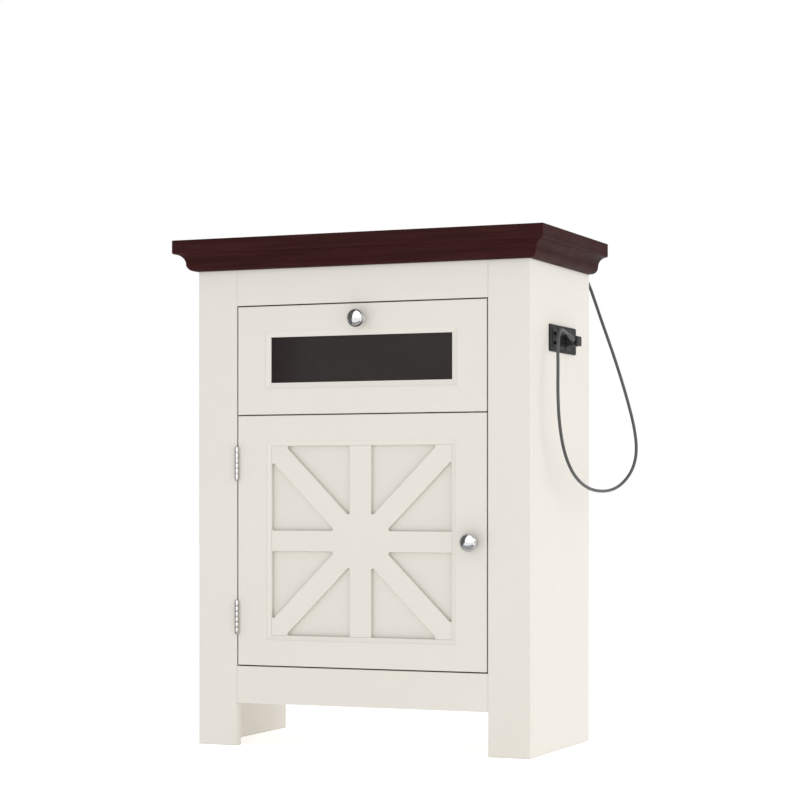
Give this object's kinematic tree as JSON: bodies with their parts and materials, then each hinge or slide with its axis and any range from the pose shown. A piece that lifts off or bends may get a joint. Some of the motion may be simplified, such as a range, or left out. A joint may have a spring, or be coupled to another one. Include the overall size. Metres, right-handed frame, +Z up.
{
  "type": "aquarium stand cabinet",
  "caption": "Painted aquarium stand cabinet with a moulded top, a windowed drawer, a hinged panelled door, a side power outlet and its plugged-in lead.",
  "frame": {"origin": "on the floor, under the middle of the cabinet's box, the lead and its plug and gland left out", "axes": "+Z up, -Y out of the front (door and drawer), +X to the right seen from the front"},
  "size_m": [0.6643, 0.3798, 0.8085],
  "materials": {
    "painted_board": "warm white satin paint on fibreboard",
    "stained_moulding": "dark red-brown stain under satin lacquer",
    "raw_timber": "planed softwood, unfinished",
    "polished_knob": "polished, bright",
    "nickel_hinge": "bright nickel plate",
    "zinc_steel": "zinc plated",
    "smoked_pane": "smoked, polished",
    "black_plastic": "fine moulded texture",
    "magnet_block": "sintered magnet, dark",
    "lead_rubber": "dark grey, satin"
  },
  "bodies": {
    "cabinet": {"top_board": "stained_moulding", "front_moulding": "stained_moulding", "left_moulding": "stained_moulding", "right_moulding": "stained_moulding", "top_rear_rail": "raw_timber", "top_cleats": "raw_timber", "side_panel_left": "painted_board", "side_panel_right": "painted_board", "front_stile_left": "painted_board", "front_stile_right": "painted_board", "top_rail": "painted_board", "bottom_rail": "painted_board", "drawer_deck": "painted_board", "drawer_partition_left": "painted_board", "drawer_partition_right": "painted_board", "cabinet_floor": "painted_board", "back_panel": "painted_board", "back_screws": "zinc_steel", "adjustable_shelf": "painted_board", "shelf_pins": "zinc_steel", "cam_locks": "zinc_steel", "cam_bolts": "zinc_steel", "port_grommets": "black_plastic", "hinge_frame_leaves": "nickel_hinge", "hinge_pins": "nickel_hinge", "hinge_frame_screws": "nickel_hinge", "slide_outer_left": "zinc_steel", "slide_outer_right": "zinc_steel", "slide_screws": "zinc_steel", "catch_housing": "black_plastic", "catch_magnet": "magnet_block", "outlet_plate": "black_plastic", "outlet_housing": "black_plastic", "socket_inserts": "black_plastic", "supply_gland": "black_plastic", "plug": "black_plastic", "plug_strain_relief": "lead_rubber", "power_lead": "lead_rubber", "lead_gland": "black_plastic"},
    "door": {"door_frame": "painted_board", "door_panel": "painted_board", "door_spokes": "painted_board", "door_knob": "polished_knob", "door_knob_screw": "zinc_steel", "hinge_door_leaves": "nickel_hinge", "hinge_door_screws": "nickel_hinge", "catch_strike": "zinc_steel"},
    "drawer": {"drawer_front": "painted_board", "window_pane": "smoked_pane", "pane_retainer": "painted_board", "drawer_side_left": "painted_board", "drawer_side_right": "painted_board", "drawer_back": "painted_board", "drawer_bottom": "painted_board", "drawer_knob": "polished_knob", "drawer_knob_screw": "zinc_steel", "slide_inner_left": "zinc_steel", "slide_inner_right": "zinc_steel"},
    "slide_member_left": {"slide_middle_left": "zinc_steel"},
    "slide_member_right": {"slide_middle_right": "zinc_steel"}
  },
  "joints": [
    {"name": "door_hinge", "type": "hinge", "parent": "cabinet", "child": "door", "pos_m": [-0.213, -0.1311, 0.328], "axis": [0, 0, -1], "range_deg": [0, 170]},
    {"name": "drawer_slide", "type": "slide", "parent": "cabinet", "child": "drawer", "axis": [0, -1, 0], "range_m": [0, 0.2]},
    {"name": "slide_travel_left", "type": "slide", "parent": "cabinet", "child": "slide_member_left", "axis": [0, -1, 0], "range_m": [0, 0.1]},
    {"name": "slide_travel_right", "type": "slide", "parent": "cabinet", "child": "slide_member_right", "axis": [0, -1, 0], "range_m": [0, 0.1]}
  ],
  "couplings": [
    {"joint": "slide_travel_left", "follows": "drawer_slide", "ratio": 0.5},
    {"joint": "slide_travel_right", "follows": "drawer_slide", "ratio": 0.5}
  ]
}
